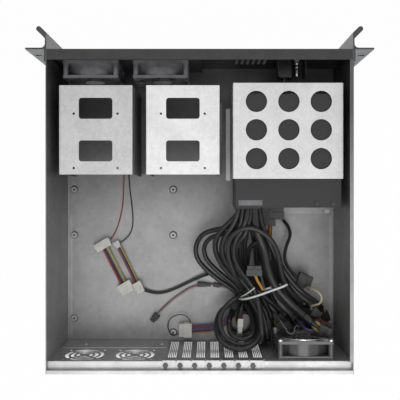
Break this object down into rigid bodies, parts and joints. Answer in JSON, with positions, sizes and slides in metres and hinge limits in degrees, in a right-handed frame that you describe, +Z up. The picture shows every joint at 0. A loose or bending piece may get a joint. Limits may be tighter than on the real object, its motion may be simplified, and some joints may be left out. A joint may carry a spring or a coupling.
{
  "type": "rack server case",
  "caption": "Open-topped rack case three units high, with rack ears and handles, drive cages, fans, a power supply and its cable harness",
  "frame": {"origin": "middle of the case's overall length and width, on the plane it stands on", "axes": "+Z up, the front panel and handles towards -Y, +X to the right seen from the front"},
  "size_m": [0.4826, 0.481, 0.1325],
  "materials": {
    "wire_mixed": "red, black and yellow wires side by side",
    "tie_nylon": "white nylon tie",
    "zinc_plate": "zinc-coated sheet steel, satin",
    "black_paint": "black powder coat",
    "grey_nylon": "grey nylon",
    "sleeve_black": "black braided sleeve",
    "zinc_bright": "hot-dip galvanised sheet steel with fine spangle",
    "wire_black": "black wire insulation",
    "wire_red": "red wire insulation",
    "black_nylon": "moulded black plastic, satin",
    "anodised": "dark grey anodised extrusion",
    "zinc_satin": "electro-galvanised sheet steel, satin",
    "bright_nickel": "bright nickel plate",
    "psu_paint": "matt black paint",
    "natural_nylon": "natural white nylon"
  },
  "bodies": {
    "case": {"adapter_leads_a": "wire_mixed", "adapter_leads_b": "wire_mixed", "cable_ties": "tie_nylon", "chassis_tub": "zinc_plate", "control_bracket": "black_paint", "dark_connectors": "grey_nylon", "drive_cable_a": "sleeve_black", "drive_cable_b": "sleeve_black", "drive_cage_a": "zinc_bright", "drive_cage_b": "zinc_bright", "drive_lead": "wire_black", "fan_bracket": "black_paint", "fan_lead_black": "wire_black", "fan_lead_red": "wire_red", "front_fan_frame_a": "black_nylon", "front_fan_frame_b": "black_nylon", "front_lead": "wire_black", "front_panel": "black_paint", "graphics_cable_a": "sleeve_black", "graphics_cable_b": "sleeve_black", "handle_left": "anodised", "handle_right": "anodised", "loop_cable": "sleeve_black", "main_cable": "sleeve_black", "mains_inlet": "black_nylon", "mains_switch_body": "black_nylon", "plug_lead_rear": "wire_mixed", "plug_lead_top": "wire_mixed", "port_block": "zinc_satin", "port_cover": "zinc_plate", "power_switch_body": "bright_nickel", "processor_cable_a": "sleeve_black", "processor_cable_b": "sleeve_black", "psu_cage": "zinc_satin", "psu_cover": "psu_paint", "psu_fan_frame": "black_nylon", "psu_fan_guard": "bright_nickel", "psu_grommet": "black_nylon", "psu_housing": "psu_paint", "psu_shelf": "zinc_plate", "rear_fan_frame": "black_nylon", "rear_fan_guard": "bright_nickel", "rear_leads": "wire_mixed", "rear_panel": "zinc_plate", "screws": "bright_nickel", "sensor_lead": "wire_black", "slot_cover_1": "zinc_bright", "slot_cover_2": "zinc_bright", "slot_cover_3": "zinc_bright", "slot_cover_4": "zinc_bright", "slot_cover_5": "zinc_bright", "slot_cover_6": "zinc_bright", "slot_cover_7": "zinc_bright", "white_connectors": "natural_nylon"},
    "front_rotor_a": {"front_fan_impeller_a": "black_nylon"},
    "front_rotor_b": {"front_fan_impeller_b": "black_nylon"},
    "rear_rotor": {"rear_fan_impeller": "black_nylon"},
    "psu_rotor": {"psu_fan_impeller": "black_nylon"},
    "rocker": {"mains_switch_rocker": "black_nylon"},
    "button": {"power_button": "bright_nickel"}
  },
  "joints": [
    {"name": "front_fan_spin_a", "type": "hinge", "parent": "case", "child": "front_rotor_a", "pos_m": [0.156, -0.18645, 0.067], "axis": [0, 1, 0], "continuous": true},
    {"name": "front_fan_spin_b", "type": "hinge", "parent": "case", "child": "front_rotor_b", "pos_m": [0.056, -0.18645, 0.067], "axis": [0, 1, 0], "continuous": true},
    {"name": "rear_fan_spin", "type": "hinge", "parent": "case", "child": "rear_rotor", "pos_m": [-0.1498, 0.21155, 0.077], "axis": [0, 1, 0], "continuous": true},
    {"name": "psu_fan_spin", "type": "hinge", "parent": "case", "child": "psu_rotor", "pos_m": [-0.095, -0.13595, 0.074], "axis": [0, 1, 0], "continuous": true},
    {"name": "mains_switch_rock", "type": "hinge", "parent": "case", "child": "rocker", "pos_m": [-0.168, -0.14695, 0.09], "axis": [1, 0, 0], "range_deg": [0, 14]},
    {"name": "power_button_press", "type": "slide", "parent": "case", "child": "button", "axis": [0, 1, 0], "range_m": [0, 0.002], "stiffness_N_per_m": 400}
  ]
}
